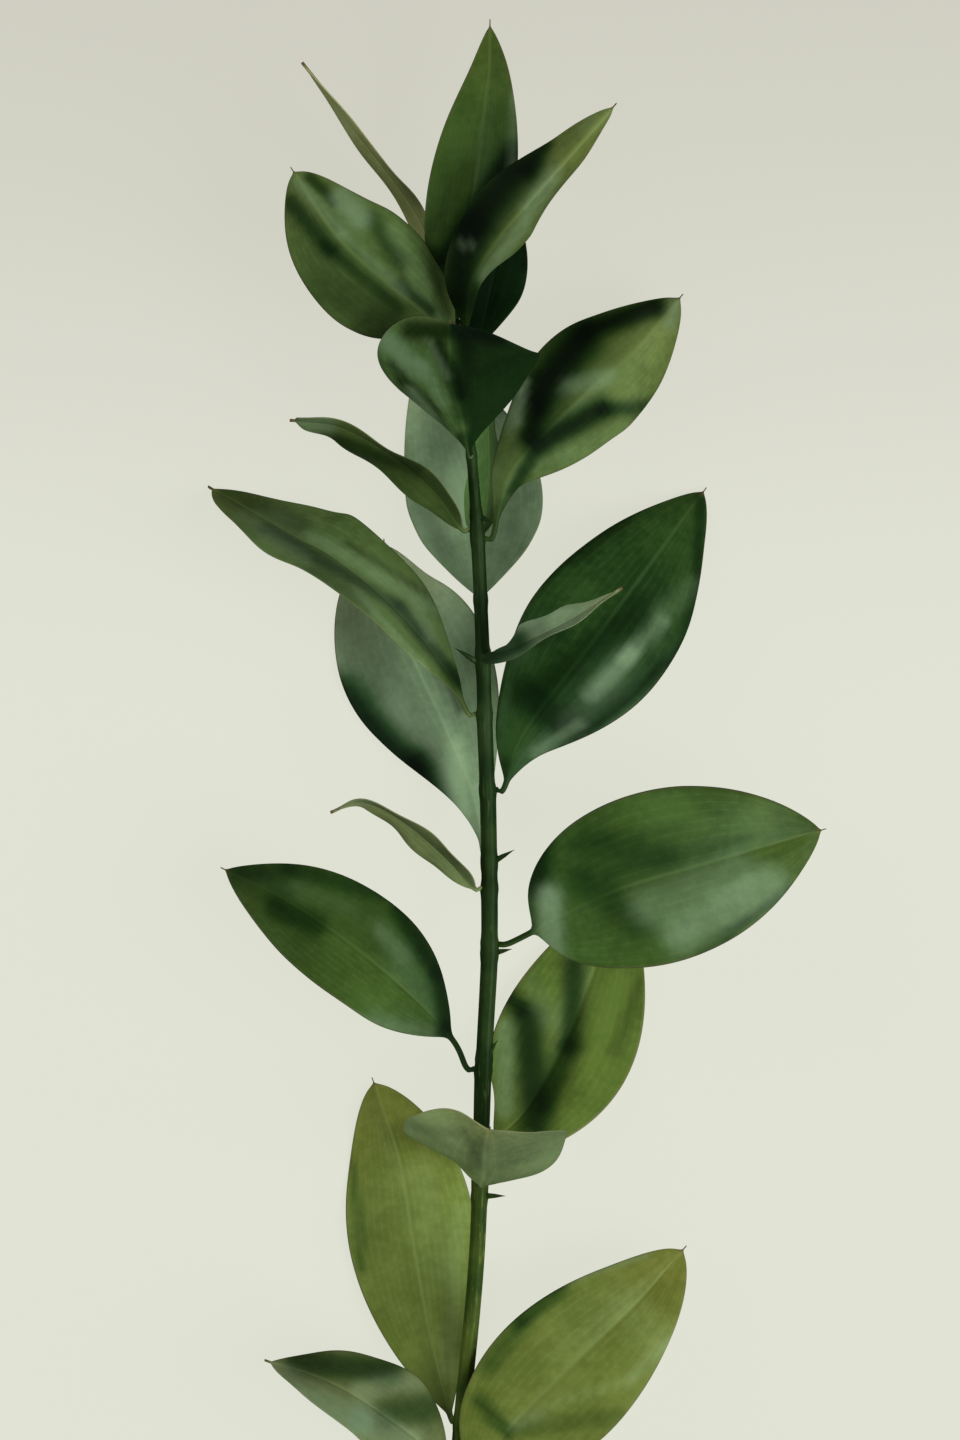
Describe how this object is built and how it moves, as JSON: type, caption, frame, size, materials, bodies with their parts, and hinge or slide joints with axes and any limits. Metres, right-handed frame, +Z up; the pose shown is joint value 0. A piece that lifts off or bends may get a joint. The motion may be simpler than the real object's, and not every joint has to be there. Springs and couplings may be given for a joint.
{
  "type": "ruscus stem",
  "caption": "Cut ruscus stem lying on its side, with pointed waxy leaves along both sides, small scales at the knots and a slanting cut.",
  "frame": {"origin": "on the surface it lies on, under the middle of its bounding box", "axes": "+Y from the cut end towards the tip, +Z up from the surface, +X to the right seen from above with the tip away"},
  "size_m": [0.1563, 0.4788, 0.0683],
  "materials": {
    "stem_green": "satin green bark, finely ridged",
    "leaf_dark": "waxy dark green with fine lengthwise veins",
    "leaf_olive": "waxy olive green with fine lengthwise veins",
    "leaf_pale": "satin grey green underside with fine lengthwise veins"
  },
  "bodies": {
    "root": {"stem": "stem_green", "leaf_01": "leaf_dark", "leaf_02": "leaf_dark", "leaf_03": "leaf_dark", "leaf_04": "leaf_dark", "leaf_05": "leaf_dark", "leaf_06": "leaf_dark", "leaf_07": "leaf_dark", "leaf_08": "leaf_pale", "leaf_09": "leaf_olive", "leaf_10": "leaf_dark", "leaf_11": "leaf_dark", "leaf_12": "leaf_pale", "leaf_13": "leaf_dark", "leaf_14": "leaf_pale", "leaf_15": "leaf_dark", "leaf_16": "leaf_dark", "leaf_17": "leaf_dark", "leaf_18": "leaf_olive", "leaf_19": "leaf_pale", "leaf_20": "leaf_olive", "leaf_21": "leaf_dark", "leaf_22": "leaf_olive"}
  },
  "joints": []
}
